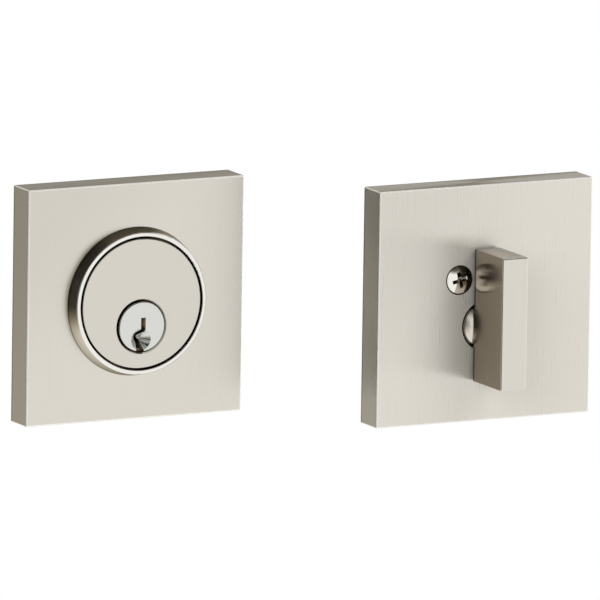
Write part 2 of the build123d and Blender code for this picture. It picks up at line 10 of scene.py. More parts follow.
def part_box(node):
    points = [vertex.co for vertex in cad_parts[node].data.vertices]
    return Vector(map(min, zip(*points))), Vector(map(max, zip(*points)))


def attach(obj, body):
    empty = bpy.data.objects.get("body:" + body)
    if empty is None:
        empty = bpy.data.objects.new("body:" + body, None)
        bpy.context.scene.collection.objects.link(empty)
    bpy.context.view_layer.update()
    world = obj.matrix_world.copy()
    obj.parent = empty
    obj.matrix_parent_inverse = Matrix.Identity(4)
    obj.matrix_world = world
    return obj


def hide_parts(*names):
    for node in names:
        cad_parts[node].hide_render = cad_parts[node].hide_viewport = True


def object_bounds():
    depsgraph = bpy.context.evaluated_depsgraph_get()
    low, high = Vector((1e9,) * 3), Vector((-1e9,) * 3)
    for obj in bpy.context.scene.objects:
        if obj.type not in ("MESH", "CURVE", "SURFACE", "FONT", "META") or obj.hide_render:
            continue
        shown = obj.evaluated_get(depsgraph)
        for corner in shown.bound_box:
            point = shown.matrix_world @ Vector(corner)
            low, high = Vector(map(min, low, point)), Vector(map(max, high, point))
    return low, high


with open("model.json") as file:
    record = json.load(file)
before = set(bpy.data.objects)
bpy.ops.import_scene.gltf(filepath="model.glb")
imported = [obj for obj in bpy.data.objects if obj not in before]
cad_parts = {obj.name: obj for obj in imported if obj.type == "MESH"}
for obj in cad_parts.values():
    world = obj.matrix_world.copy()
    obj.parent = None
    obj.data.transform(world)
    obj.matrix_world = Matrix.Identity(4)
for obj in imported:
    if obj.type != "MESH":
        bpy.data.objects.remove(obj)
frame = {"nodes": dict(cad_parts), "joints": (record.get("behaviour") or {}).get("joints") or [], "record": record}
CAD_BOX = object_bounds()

bl_info = {
    "name": "Deadbolt Trims",
    "version": (1, 0, 0),
    "blender": (4, 5, 0),
    "location": "View3D > Sidebar > Deadbolt",
    "description": "Dresses a packed deadbolt trim set in its metal finishes and sets its studio",
    "category": "Object",
}

MM = 0.001
JOINT_PLACES = {joint["name"]: Vector(joint["pos_m"]) for joint in frame["joints"]}
KEY_AXIS = JOINT_PLACES["key_turn"]
TURN_AXIS = JOINT_PLACES["thumb_turn"]
COLLAR_AXIS = Vector((0, 0, 0))
MOUNTS = {mount["name"]: mount for mount in frame["record"]["mounts"]}
SCREW_MOUNT = MOUNTS["screw_shanks"]
POST_MOUNT = MOUNTS["post_threads"]
SCREW_SPACING = SCREW_MOUNT["dims"]["spacing_x_mm"] * MM


def pair_axes(mount):
    """Where the two holes or shanks of a mount lie, left and right of its place."""
    half = Vector((mount["dims"]["spacing_x_mm"] * MM / 2, 0, 0))
    return [Vector(mount["pos_m"]) - half, Vector(mount["pos_m"]) + half]


SCREW_AXES = pair_axes(SCREW_MOUNT)
POST_AXES = pair_axes(POST_MOUNT)

# Walls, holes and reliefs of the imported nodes, which the finishes follow
TRIM_WALL = 2.2 * MM
COLLAR_BORE = 18.85 * MM
FACE_THICKNESS = 3.0 * MM
PLUG_BORE = 7.12 * MM
PLUG_HEAD_DEPTH = 2.0 * MM
KEYWAY_REACH = 6.4 * MM
KEYWAY_BEND = -0.8 * MM
KEYWAY_MOUTH = -5.6 * MM
SCOOP_CENTRE = KEY_AXIS + Vector((-0.3, 0.0, -3.6)) * MM
SCOOP_RADIUS = 3.0 * MM
SCOOP_DEPTH = 2.8 * MM
HUB_HOLE = 7.05 * MM
TURN_STANDOFF = 1.0 * MM
SCREW_HOLE = 4.2 * MM
SCREW_HEAD = 3.8 * MM
SCREW_CROWN = 0.7 * MM
SCREW_HEAD_HEIGHT = 1.5 * MM

# Threads of the screws and posts, and the turn of the cross in the screws' heads
SCREW_THREAD = 2.4 * MM
SCREW_CORE = 2.0 * MM
SCREW_TIP = 0.8 * MM
TIP_TAPER = 0.5 * MM
THREAD_PITCH = 1.06 * MM
THREAD_STEPS = 28
# Along one pitch, and up from the core to the crest
THREAD_PROFILE = ((0.0, 0.0), (0.12, 0.0), (0.44, 1.0), (0.56, 1.0), (0.88, 0.0), (1.0, 0.0))
TAPPED_DEPTH = 0.3 * MM
CROSS_TURN = math.radians(-33)

# How the screws' packed faces are copied, joined and shaded
LEVEL_SLACK = 0.01 * MM
MERGE_DISTANCE = 0.001 * MM
SHARP_EDGE = math.radians(30)

# Values that several finishes share
LINE_BLUR = 0.06
GRAIN_RELIEF = 6.0
BLACK = (0.0, 0.0, 0.0)
WHITE = (1.0, 1.0, 1.0)

# Stage
MIDDLE = (Vector(CAD_BOX[0]) + Vector(CAD_BOX[1])) / 2
WORLD_LIGHT = (0.6, 0.6, 0.6)
FLOOR_RADIUS = 0.6
FLOOR_CLOUD = 0.05
DISC_STEPS = 96
LAMP_SIZE = 0.8
KEY_LAMP = Vector((0.7, -1.0, 0.9))
FILL_LAMP = Vector((-0.9, -0.9, 0.5))
CLIP_START = 0.05
CLIP_END = 20.0


# Shader values

class Shade:
    """One value in a material's node tree; arithmetic on it adds nodes to that tree."""

    def __init__(self, tree, socket):
        self.tree = tree
        self.socket = socket

    def add(self, kind, settings, inputs, output=0):
        """Adds a node: its settings first, then values or links for its sockets."""
        node = self.tree.nodes.new(kind)
        for name, value in settings.items():
            setattr(node, name, value)
        for key, value in inputs.items():
            self.feed(node.inputs[key], value)
        return Shade(self.tree, node.outputs[output])

    def feed(self, socket, value):
        """Links a shade to a socket, or sets the socket to a plain value."""
        if isinstance(value, Shade):
            self.tree.links.new(value.socket, socket)
        elif socket.type == "VECTOR" and isinstance(value, (int, float)):
            socket.default_value = (value, value, value)
        else:
            socket.default_value = value

    def join(self, operation, first, second):
        """Arithmetic on two terms, by Vector Math where either is a vector and by Math otherwise."""
        kinds = [term.socket.type for term in (first, second) if isinstance(term, Shade)]
        kind = "ShaderNodeVectorMath" if "VECTOR" in kinds else "ShaderNodeMath"
        return self.add(kind, {"operation": operation}, {0: first, 1: second})

    def __add__(self, other):
        return self.join("ADD", self, other)

    def __radd__(self, other):
        return self.join("ADD", other, self)

    def __sub__(self, other):
        return self.join("SUBTRACT", self, other)

    def __rsub__(self, other):
        return self.join("SUBTRACT", other, self)

    def __mul__(self, other):
        return self.join("MULTIPLY", self, other)

    def __rmul__(self, other):
        return self.join("MULTIPLY", other, self)

    def __truediv__(self, other):
        return self.join("DIVIDE", self, other)

    def __rtruediv__(self, other):
        return self.join("DIVIDE", other, self)

    def __abs__(self):
        return self.add("ShaderNodeMath", {"operation": "ABSOLUTE"}, {0: self})


def parts(vector):
    """The X, Y and Z of a vector shade."""
    return [vector.add("ShaderNodeSeparateXYZ", {}, {0: vector}, i) for i in range(3)]


def larger(first, second):
    return first.add("ShaderNodeMath", {"operation": "MAXIMUM"}, {0: first, 1: second})


def length(vector):
    return vector.add("ShaderNodeVectorMath", {"operation": "LENGTH"}, {0: vector}, "Value")


def step(value, start, end):
    """A smooth step of a value from 0 at start to 1 at end."""
    settings = {"interpolation_type": "SMOOTHSTEP"}
    return value.add("ShaderNodeMapRange", settings, {"Value": value, "From Min": start, "From Max": end})


def band(value, start, rise, fall, end):
    """1 between two levels of a value, with a smooth step up to it and down from it."""
    return step(value, start, rise) * step(value, end, fall)


def noise(vector, detail=2.0, roughness=0.55):
    """Cloudy noise about one unit across, from 0 to 1."""
    inputs = {"Vector": vector, "Scale": 1.0, "Detail": detail, "Roughness": roughness}
    return vector.add("ShaderNodeTexNoise", {}, inputs)


def blend(factor, first, second):
    """A colour between two colours."""
    inputs = {0: factor, 6: opaque(first), 7: opaque(second)}
    return factor.add("ShaderNodeMix", {"data_type": "RGBA"}, inputs, 2)


def opaque(colour):
    return colour if isinstance(colour, Shade) else (*colour, 1.0)


def tint(colour, amount):
    """A plain colour made lighter or darker."""
    return tuple(min(1.0, channel * amount) for channel in colour)


def mottled(pattern, colour, dark, light):
    """A plain colour made darker and lighter by a pattern from 0 to 1."""
    return blend(pattern, tint(colour, dark), tint(colour, light))


# Materials

def new_metal(name, roughness, anisotropy=0.0, metallic=1.0):
    """A metal material, its shader node and the place of each point in the shared frame."""
    material = bpy.data.materials.new(name)
    material.use_nodes = True
    tree = material.node_tree
    shader = tree.nodes["Principled BSDF"]
    shader.inputs["Metallic"].default_value = metallic
    shader.inputs["Roughness"].default_value = roughness
    shader.inputs["Anisotropic"].default_value = anisotropy
    place = Shade(tree, tree.nodes.new("ShaderNodeTexCoord").outputs["Object"])
    return material, shader, place


def finish(shader, colour, roughness, height, depth):
    """Feeds a shader its colour, roughness and a bump of the given depth in metres."""
    colour.feed(shader.inputs["Base Color"], colour)
    roughness.feed(shader.inputs["Roughness"], roughness)
    bump = height.add("ShaderNodeBump", {}, {"Strength": 1.0, "Distance": depth, "Height": height})
    bump.feed(shader.inputs["Normal"], bump)


def upright_lines(place, look):
    """Fine brushing that runs up and down, under broader drifting bands."""
    fine = (1 / look.line_width, 1 / look.line_width, 1 / look.line_length)
    broad = (0.1 / look.line_width, 0.1 / look.line_width, 0.3 / look.line_length)
    return noise(place * fine, 3.0) * 0.6 + noise(place * broad) * 0.4


def turned_lines(place, axis, look):
    """Fine rings about an axis along Y, as a lathe leaves them."""
    offset = from_axis(place, axis)
    radius = length(offset)
    depth = parts(place)[1]
    across = radius.add("ShaderNodeCombineXYZ", {}, {"X": radius, "Y": depth, "Z": 0.0}) / look.line_width
    drift = offset / look.line_length
    return noise(across + drift * 0.3, 3.0)


def square_reach(place, node):
    """Where a point of a square trim lies: down its diagonal, in from its nearest side, and half its side."""
    low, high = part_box(node)
    centre = (low + high) / 2
    half = (high.x - low.x) / 2
    x, _, z = parts(place - tuple(centre))
    return x - z, half - larger(abs(x), abs(z)), half


def cast_grain(place):
    """The grainy skin of a casting."""
    return noise(place / (0.9 * MM), 3.0) * 0.6 + noise(place / (0.12 * MM)) * 0.4


def from_axis(place, axis):
    """A point's offset from an axis along Y."""
    return (place - tuple(axis)) * (1.0, 0.0, 1.0)


def hole_walls(place, axis, radius, front):
    """1 on the wall of a round hole along Y, 0 on the face in front of it."""
    within = step(length(from_axis(place, axis)), radius + 0.1 * MM, radius + 0.05 * MM)
    return within * step(parts(place)[1], front + 0.1 * MM, front + 0.35 * MM)


def brushed(lines, look, tone=1.0):
    """Nickel plate, lighter and darker from one brushed line to the next."""
    return mottled(lines, look.colour, tone - look.contrast, tone + look.contrast)


def satin_trim(name, node, holes, look, blur, spread, tone, matte=0.0, line_share=1.0):
    """Brushed nickel with a painted highlight on its front edges, painted shade along its sides' edges, at its
    upper left and in its holes, and bare casting inside.
    """
    material, shader, place = new_metal(name, blur, spread)
    lines = 0.5 + (upright_lines(place, look) - 0.5) * line_share
    grain = cast_grain(place)
    diagonal, inset, half = square_reach(place, node)
    low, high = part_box(node)
    y = parts(place)[1]
    depth = y - low.y
    face = step(depth, 0.4 * MM, 0.1 * MM)
    edge = step(inset, 0.5 * MM, 0.2 * MM) * step(depth, 0.6 * MM, 0.4 * MM)
    glint = step(inset, 0.5 * MM, 0.4 * MM) * step(depth, 0.22 * MM, 0.12 * MM)
    behind_edge = band(depth, 0.2 * MM, 0.3 * MM, 0.5 * MM, 0.7 * MM)
    door_edge = step(high.y - y, 0.9 * MM, 0.3 * MM)
    shade = larger(behind_edge, door_edge) * step(inset, 0.3 * MM, 0.15 * MM)
    inside = step(inset, 0.4 * MM, 0.6 * MM) * step(depth, TRIM_WALL - 0.1 * MM, TRIM_WALL + 0.1 * MM)
    corner = step(diagonal, -0.2 * half, -1.6 * half)
    plated = blend(face, brushed(lines, look, look.side_tone), brushed(lines, look, tone))
    # Painted shade: the plate goes darker towards each trim's upper left
    plated = blend(corner * look.drift, plated, BLACK)
    # Painted highlight: the front edges turn to the light lip colour
    plated = blend(edge, plated, look.lip_highlight)
    # Painted shade: dark lines along the sides' edges, then dark walls in the holes
    plated = blend(shade * look.edge_shade, plated, look.grime)
    for axis, radius in holes:
        plated = blend(hole_walls(place, axis, radius, low.y), plated, look.grime)
    casting = mottled(grain, look.casting_colour, 0.8, 1.1)
    # Painted highlight: the front edges lose some metal and scatter light as a bright line
    metallic = 1 - larger(face * matte, glint * look.edge_glint)
    metallic.feed(shader.inputs["Metallic"], metallic)
    satin = blur + (lines - 0.5) * LINE_BLUR - edge * 0.05
    roughness = satin * (1 - inside) + (0.5 + grain * 0.2) * inside
    height = lines * (1 - inside) + grain * inside * GRAIN_RELIEF
    finish(shader, blend(inside, plated, casting), roughness, height, look.line_depth)
    return material


def satin_collar(name, look):
    """Turned nickel with a polished lip brightened by a painted highlight, and painted shade down to its foot and
    in the gap inside it.
    """
    material, shader, place = new_metal(name, look.collar_roughness)
    shader.inputs["Specular Tint"].default_value = opaque(look.collar_rim)
    lines = turned_lines(place, COLLAR_AXIS, look)
    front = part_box("cylinder_collar")[0].y
    foot_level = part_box("exterior_rosette")[0].y - 0.2 * MM
    y = parts(place)[1]
    lip = step(y, front + 0.4 * MM, front + 0.2 * MM)
    gap = hole_walls(place, COLLAR_AXIS, COLLAR_BORE, front)
    foot = step(y, foot_level - 0.4 * MM, foot_level) * look.foot
    crease = step(y, front + 0.6 * MM, foot_level) * look.crease
    # Painted highlight on the polished lip
    colour = blend(lip, brushed(lines, look, look.collar_tone), look.lip_highlight)
    # Painted shade in the gap inside the collar, at its foot, and growing down its flank towards the foot
    colour = blend(larger(gap, larger(foot, crease)), colour, look.grime)
    roughness = look.collar_roughness * (1 - 0.2 * lip) + (lines - 0.5) * LINE_BLUR
    finish(shader, colour, roughness, lines, look.line_depth)
    return material


def satin_grip(name, look):
    """Brushed nickel for the thumbturn, with painted shade on its sides, along its back edges and inside the trim,
    and a bare spindle.
    """
    material, shader, place = new_metal(name, look.grip_roughness, look.anisotropy)
    lines = upright_lines(place, look)
    plate_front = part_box("interior_rosette")[0].y
    turn_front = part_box("thumbturn")[0].y
    turn_back = plate_front - TURN_STANDOFF
    y = parts(place)[1]
    past_hub = step(length(from_axis(place, TURN_AXIS)), HUB_HOLE - 0.4 * MM, HUB_HOLE - 0.2 * MM)
    flank = band(y, turn_front + 0.1 * MM, turn_front + 0.5 * MM, turn_back - 0.1 * MM, turn_back)
    back = band(y, turn_back - 1.15 * MM, turn_back - 0.85 * MM, turn_back, turn_back + 0.1 * MM)
    hub_side = step(y, plate_front + 0.3 * MM, plate_front + 0.5 * MM)
    spindle = step(y, plate_front + 2.0 * MM, plate_front + 2.3 * MM)
    # Painted shade: the sides take a darker copy of the plate
    painted_side_shade = mottled(lines, look.grip_side_shade, 0.96, 1.04)
    plated = blend(flank, brushed(lines, look), painted_side_shade)
    # Painted shade along the back edges and where the grip goes into the trim
    plated = blend(larger(back * past_hub, hub_side), plated, look.grime)
    roughness = look.grip_roughness + (lines - 0.5) * LINE_BLUR + spindle * 0.15
    finish(shader, blend(spindle, plated, look.casting_colour), roughness, lines, look.line_depth)
    return material


def bare_brass(place, look):
    """Stained brass where the plate stops."""
    stain = noise(place / (1.5 * MM), 3.0)
    return mottled(stain, look.hidden.stained, 0.7, 1.1), 0.4 + stain * 0.2


def satin_face(name, look):
    """The cylinder: brushed nickel in front, painted shade on its rim and in its countersink, brass behind and in
    its bore.
    """
    material, shader, place = new_metal(name, look.satin.roughness)
    rings = turned_lines(place, KEY_AXIS, look.satin)
    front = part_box("cylinder_body")[0].y
    depth = parts(place)[1] - front
    rim = step(depth, 0.3 * MM, 0.5 * MM)
    radius = length(from_axis(place, KEY_AXIS))
    bore = step(radius, PLUG_BORE + 0.1 * MM, PLUG_BORE + 0.05 * MM)
    behind = step(depth, FACE_THICKNESS - 0.1 * MM, FACE_THICKNESS + 0.1 * MM)
    bare = larger(behind, bore * step(depth, 0.6 * MM, 0.75 * MM))
    # Painted shade on the rim, in the gap round the face
    plate = blend(rim, brushed(rings, look.satin), look.satin.grime)
    countersink = step(radius, 2 * PLUG_BORE, 1.5 * PLUG_BORE)
    plate = blend(countersink, plate, brushed(rings, look.satin))
    # Painted shade in the countersink's deeper part
    plate = blend(countersink * step(depth, 0.2 * MM, 0.4 * MM), plate, look.satin.grime)
    brass_colour, brass_roughness = bare_brass(place, look)
    roughness = (look.satin.roughness + (rings - 0.5) * LINE_BLUR) * (1 - bare) + brass_roughness * bare
    finish(shader, blend(bare, plate, brass_colour), roughness, rings, look.satin.line_depth * 0.5)
    return material


def bright_plug(name, look):
    """The plug: bright plate on its face and scoop, stained brass in the keyway and behind, with painted shade
    deep in the keyway.
    """
    material, shader, place = new_metal(name, look.bright.plug_roughness)
    rings = turned_lines(place, KEY_AXIS, look.satin)
    depth = parts(place)[1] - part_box("key_plug")[0].y
    offset = from_axis(place, SCOOP_CENTRE)
    radius = length(offset)
    scoop = larger(SCOOP_DEPTH * (1 - radius / SCOOP_RADIUS), 0.0)
    core = step(length(from_axis(place, KEY_AXIS)), KEYWAY_REACH + 0.2 * MM, KEYWAY_REACH)
    behind = step(depth, PLUG_HEAD_DEPTH - 0.2 * MM, PLUG_HEAD_DEPTH)
    bare = larger(core, behind) * step(depth - scoop, 0.2 * MM, 0.5 * MM)
    x, _, z = parts(offset)
    angle = x.add("ShaderNodeMath", {"operation": "ARCTAN2"}, {0: z, 1: x})
    around = angle.add("ShaderNodeCombineXYZ", {}, {"X": angle * 4.0, "Y": radius / (4.0 * MM), "Z": 0.0})
    tool = step(noise(around), 0.4, 0.6) * step(scoop, 0.0, 0.1 * MM)
    plate = mottled(rings, look.bright.plug, 0.98, 1.02)
    plate = blend(tool * 0.3, plate, tint(look.bright.plug, 0.45))
    brass_colour, brass_roughness = bare_brass(place, look)
    height = parts(place - tuple(KEY_AXIS))[2]
    # Painted shade: the keyway's brass goes dark below its bend, a little less so at its mouth
    mouth = step(height, KEYWAY_MOUTH + 1.0 * MM, KEYWAY_MOUTH)
    shade = step(height, KEYWAY_BEND + 1.0 * MM, KEYWAY_BEND) * (1 - 0.4 * mouth)
    brass_colour = blend(shade * 0.9, brass_colour, BLACK)
    polish = look.bright.plug_roughness + (rings - 0.5) * LINE_BLUR + tool * 0.12
    roughness = polish * (1 - bare) + brass_roughness * bare
    metallic = 1 - bare * 0.6 - tool * (1 - bare) * 0.35
    metallic.feed(shader.inputs["Metallic"], metallic)
    marks = rings + tool * 3.0
    finish(shader, blend(bare, plate, brass_colour), roughness, marks, look.satin.line_depth * 0.5)
    return material


def brass(name, look):
    """Machined brass with a light brown stain and fine tool lines."""
    material, shader, place = new_metal(name, 0.28)
    lines = turned_lines(place, KEY_AXIS, look.satin)
    stain = noise(place / (1.2 * MM), 4.0)
    colour = mottled(stain, look.hidden.brass, 0.72, 1.05)
    finish(shader, colour, 0.2 + stain * 0.2 + (lines - 0.5) * LINE_BLUR, lines, look.satin.line_depth)
    return material


def thread_wave(place, axis, radius):
    """Thread on the wall of a tapped bore along Y: a wave from 0 to 1 that climbs as it turns."""
    x, y, z = parts(place - tuple(axis))
    angle = x.add("ShaderNodeMath", {"operation": "ARCTAN2"}, {0: x, 1: z})
    turns = y / THREAD_PITCH - angle / (2 * math.pi)
    wave = turns.add("ShaderNodeMath", {"operation": "PINGPONG"}, {0: turns, 1: 0.5}) * 2.0
    return wave * step(length(from_axis(place, axis)), radius + 0.05 * MM, radius + 0.02 * MM)


def zinc_steel(name, look, bores=()):
    """Zinc-plated steel: clouded, with drawn lines, a faint blue-yellow cast and tapped bores."""
    material, shader, place = new_metal(name, 0.35)
    cloud = noise(place / (3.0 * MM), 4.0, 0.6)
    lines = noise(place * (1 / (0.15 * MM), 1 / (4.0 * MM), 1 / (0.15 * MM)), 2.0)
    base = blend(cloud, look.hidden.zinc_cool, look.hidden.zinc_warm)
    colour = blend(lines * 0.25, base, tint(look.hidden.zinc_cool, 0.75))
    height = (cloud * 0.6 + lines * 0.4) * 4e-6
    for axis, radius in bores:
        wave = thread_wave(place, axis, radius)
        colour = blend(wave * 0.5, colour, tint(look.hidden.zinc_cool, 0.3))
        height = height + wave * TAPPED_DEPTH
    finish(shader, colour, 0.26 + cloud * 0.2 + (lines - 0.5) * 0.08, height, depth=1.0)
    return material


def spring_steel(name, look):
    """Dark oiled spring steel with drawing marks."""
    material, shader, place = new_metal(name, 0.32)
    cloud = noise(place / (0.8 * MM), 4.0)
    colour = mottled(cloud, look.hidden.spring, 0.65, 1.15)
    finish(shader, colour, 0.24 + cloud * 0.22, cloud, depth=3e-6)
    return material


def nylon(name, look):
    """Natural nylon with a moulded, slightly cloudy skin."""
    material, shader, place = new_metal(name, 0.45, metallic=0.0)
    shader.inputs["Subsurface Weight"].default_value = 0.15
    shader.inputs["Subsurface Scale"].default_value = 0.5 * MM
    cloud = noise(place / (2.0 * MM), 3.0)
    grain = noise(place / (0.1 * MM), 2.0)
    colour = mottled(cloud, look.hidden.nylon, 0.92, 1.03)
    finish(shader, colour, 0.4 + grain * 0.15, grain, depth=4e-6)
    return material


def polished_nickel(name, look):
    """Polished nickel with faint wipe marks, and painted shade in the heads' crosses, for the screws that show."""
    material, shader, place = new_metal(name, look.bright.screw_roughness)
    wipe = noise(place * (1 / (0.3 * MM), 1 / (0.3 * MM), 1 / (2.0 * MM)), 3.0)
    colour = mottled(wipe, look.bright.screw, 0.96, 1.03)
    depth = parts(place)[1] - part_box("mounting_screws")[0].y
    head = step(depth, SCREW_HEAD_HEIGHT, SCREW_HEAD_HEIGHT - 0.1 * MM)
    for axis in SCREW_AXES:
        radius = length(from_axis(place, axis))
        below = depth - radius * radius * (SCREW_CROWN / SCREW_HEAD**2)
        within = step(radius, SCREW_HEAD - 0.4 * MM, SCREW_HEAD - 0.7 * MM)
        recess = head * within * step(below, 0.1 * MM, 0.3 * MM)
        # Painted shade in the crosses of the heads
        colour = blend(recess * look.bright.cross_shade, colour, look.satin.grime)
    finish(shader, colour, look.bright.screw_roughness + (wipe - 0.5) * 0.04, wipe, depth=0.4e-6)
    return material


def dress(node, material):
    """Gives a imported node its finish."""
    frame["nodes"][node].material_slots[0].material = material


# Threaded screws

def copy_faces(bm, mesh, furthest):
    """Copies the faces of a mesh that start in front of a level along Y, joined at their corners."""
    for polygon in mesh.polygons:
        corners = [mesh.vertices[i].co for i in polygon.vertices]
        if min(corner.y for corner in corners) < furthest:
            bm.faces.new([bm.verts.new(corner) for corner in corners])
    bmesh.ops.remove_doubles(bm, verts=bm.verts, dist=MERGE_DISTANCE)


def join_rings(bm, rings):
    """Faces between neighbouring closed rings of points, facing out from an axis along Y."""
    for near, far in zip(rings, rings[1:]):
        for i, corner in enumerate(near):
            bm.faces.new((near[i - 1], far[i - 1], far[i], corner))


def ring_point(axis, radius, angle, y):
    """A point on a circle about an axis along Y, its angle measured from upright."""
    return axis.x + radius * math.sin(angle), y, axis.z + radius * math.cos(angle)


def turned_band(bm, axis, profile, steps):
    """A surface of revolution about an axis along Y, from pairs of radius and level, closed at its end."""
    angles = [2 * math.pi * i / steps for i in range(steps)]
    rings = [[bm.verts.new(ring_point(axis, radius, angle, y)) for angle in angles] for radius, y in profile]
    join_rings(bm, rings)
    bm.faces.new(rings[-1])


def thread(bm, axis, start, end, steps):
    """A right-hand screw thread about an axis along Y that runs out at both ends."""
    count = int((end - start) / THREAD_PITCH * steps)
    rows = []
    for i in range(count + 1):
        angle = 2 * math.pi * i / steps
        height = (SCREW_THREAD - SCREW_CORE) * min(1.0, i / steps, (count - i) / steps)
        row = []
        for along, rise in THREAD_PROFILE:
            y = min(max(start + THREAD_PITCH * (i / steps + along - 1.0), start), end)
            row.append(bm.verts.new(ring_point(axis, SCREW_CORE + height * rise, angle, y)))
        rows.append(row)
    for near, far in zip(rows, rows[1:]):
        for j in range(len(THREAD_PROFILE) - 1):
            bm.faces.new((near[j], near[j + 1], far[j + 1], far[j]))


def new_piece(name, bm, material, sharp):
    """Makes an object of a mesh, smooth except over edges sharper than an angle."""
    for face in bm.faces:
        face.smooth = True
    for edge in bm.edges:
        edge.smooth = edge.is_manifold and edge.calc_face_angle() < sharp
    mesh = bpy.data.meshes.new(name)
    bm.to_mesh(mesh)
    bm.free()
    mesh.materials.append(material)
    piece = bpy.data.objects.new(name, mesh)
    bpy.context.scene.collection.objects.link(piece)
    return piece


# Settings

class SatinNickelLook(bpy.types.PropertyGroup):
    """The brushed nickel of the trims, collar and thumbturn."""

    colour: FloatVectorProperty(
        name="Colour", description="Nickel plate", subtype="COLOR", size=3, min=0.0, max=1.0,
        default=(0.685, 0.655, 0.59),
    )
    casting_colour: FloatVectorProperty(
        name="Casting", description="Bare metal inside the trims", subtype="COLOR", size=3, min=0.0, max=1.0,
        default=(0.42, 0.42, 0.41),
    )
    # Painted highlight on the polished lip of the guard collar and on the trims' front edges
    lip_highlight: FloatVectorProperty(
        name="Lip", description="Polished lip of the guard collar and front edges of the trims",
        subtype="COLOR", size=3, min=0.0, max=1.0, default=(0.85, 0.83, 0.78),
    )
    # Painted shade: the dark colour put in gaps, holes and crevices and along edges
    grime: FloatVectorProperty(
        name="Grime", description="Dark residue in gaps and holes", subtype="COLOR", size=3, min=0.0, max=1.0,
        default=(0.05, 0.042, 0.03),
    )
    roughness: FloatProperty(
        name="Roughness", description="Blur of the cylinder's face and the exterior trim", subtype="FACTOR",
        min=0.0, max=1.0, default=0.25,
    )
    interior_roughness: FloatProperty(
        name="Interior roughness", description="Blur of the interior trim", subtype="FACTOR",
        min=0.0, max=1.0, default=0.28,
    )
    collar_roughness: FloatProperty(
        name="Collar roughness", description="Blur of the guard collar", subtype="FACTOR",
        min=0.0, max=1.0, default=0.17,
    )
    grip_roughness: FloatProperty(
        name="Grip roughness", description="Blur of the thumbturn", subtype="FACTOR",
        min=0.0, max=1.0, default=0.16,
    )
    anisotropy: FloatProperty(
        name="Anisotropy", description="How much more upright brushing blurs across itself", subtype="FACTOR",
        min=0.0, max=1.0, default=0.9,
    )
    exterior_anisotropy: FloatProperty(
        name="Exterior anisotropy", description="How much more the exterior trim blurs across its brushing",
        subtype="FACTOR", min=0.0, max=1.0, default=0.4,
    )
    exterior_tone: FloatProperty(
        name="Exterior tone", description="How light the exterior trim's front is", min=0.0, max=1.4,
        default=1.045,
    )
    interior_tone: FloatProperty(
        name="Interior tone", description="How light the interior trim's front is", min=0.0, max=1.4,
        default=0.935,
    )
    side_tone: FloatProperty(
        name="Side tone", description="How light the trims' sides are", min=0.0, max=1.4, default=1.05,
    )
    interior_matte: FloatProperty(
        name="Interior matte", description="How much the interior trim's front scatters light",
        subtype="FACTOR", min=0.0, max=1.0, default=0.36,
    )
    interior_lines: FloatProperty(
        name="Interior lines", description="How strong the interior trim's brushed lines are",
        subtype="FACTOR", min=0.0, max=1.0, default=0.7,
    )
    collar_rim: FloatVectorProperty(
        name="Collar rim", description="Tint of the guard collar where it is seen edge on",
        subtype="COLOR", size=3, min=0.0, max=1.0, default=(0.4, 0.38, 0.34),
    )
    # Painted shade at the guard collar's foot and down its flank
    foot: FloatProperty(
        name="Foot", description="How dark the guard collar is where it meets the trim", subtype="FACTOR",
        min=0.0, max=1.0, default=0.8,
    )
    crease: FloatProperty(
        name="Crease", description="How dark the guard collar goes down to its foot", subtype="FACTOR",
        min=0.0, max=1.0, default=0.25,
    )
    collar_tone: FloatProperty(
        name="Collar tone", description="How light the guard collar is beside the trims", min=0.0, max=1.4,
        default=1.35,
    )
    # Painted shade on the thumbturn's sides
    grip_side_shade: FloatVectorProperty(
        name="Grip sides", description="Duller plate on the thumbturn's sides", subtype="COLOR", size=3,
        min=0.0, max=1.0, default=(0.43, 0.378, 0.305),
    )
    # Painted shade at each trim's upper left
    drift: FloatProperty(
        name="Drift", description="How much darker the plate is at a trim's upper left", subtype="FACTOR",
        min=0.0, max=1.0, default=0.08,
    )
    # Painted highlight along the trims' front edges
    edge_glint: FloatProperty(
        name="Edge glint", description="How much the worn front edges of the trims scatter light",
        subtype="FACTOR", min=0.0, max=1.0, default=0.5,
    )
    edge_shade: FloatProperty(
        name="Edge shade", description="How dark the trims' sides go along their edges", subtype="FACTOR",
        min=0.0, max=1.0, default=0.5,
    )
    contrast: FloatProperty(
        name="Contrast", description="Tone between one brushed line and the next", subtype="FACTOR",
        min=0.0, max=1.0, default=0.05,
    )
    line_width: FloatProperty(
        name="Line width", description="Width of a brushed line", unit="LENGTH", precision=5,
        default=0.12 * MM,
    )
    line_length: FloatProperty(
        name="Line length", description="Length of a brushed line", unit="LENGTH", precision=4,
        default=9.0 * MM,
    )
    line_depth: FloatProperty(
        name="Line depth", description="Depth of a brushed line", unit="LENGTH", precision=6, default=0.5e-6,
    )


class BrightNickelLook(bpy.types.PropertyGroup):
    """The bright plate of the plug and the polish of the mounting screws."""

    plug: FloatVectorProperty(
        name="Plug", description="Bright plate on the plug's face", subtype="COLOR", size=3, min=0.0, max=1.0,
        default=(0.69, 0.695, 0.66),
    )
    plug_roughness: FloatProperty(
        name="Plug roughness", description="Blur of the plug's plate", subtype="FACTOR", min=0.0, max=1.0,
        default=0.16,
    )
    screw: FloatVectorProperty(
        name="Screw", description="Polished screw heads", subtype="COLOR", size=3, min=0.0, max=1.0,
        default=(0.86, 0.84, 0.78),
    )
    screw_roughness: FloatProperty(
        name="Screw roughness", description="Blur of the screw polish", subtype="FACTOR", min=0.0, max=1.0,
        default=0.07,
    )
    # Painted shade in the crosses of the screw heads
    cross_shade: FloatProperty(
        name="Cross grime", description="How dark the crosses in the screw heads are", subtype="FACTOR",
        min=0.0, max=1.0, default=0.75,
    )


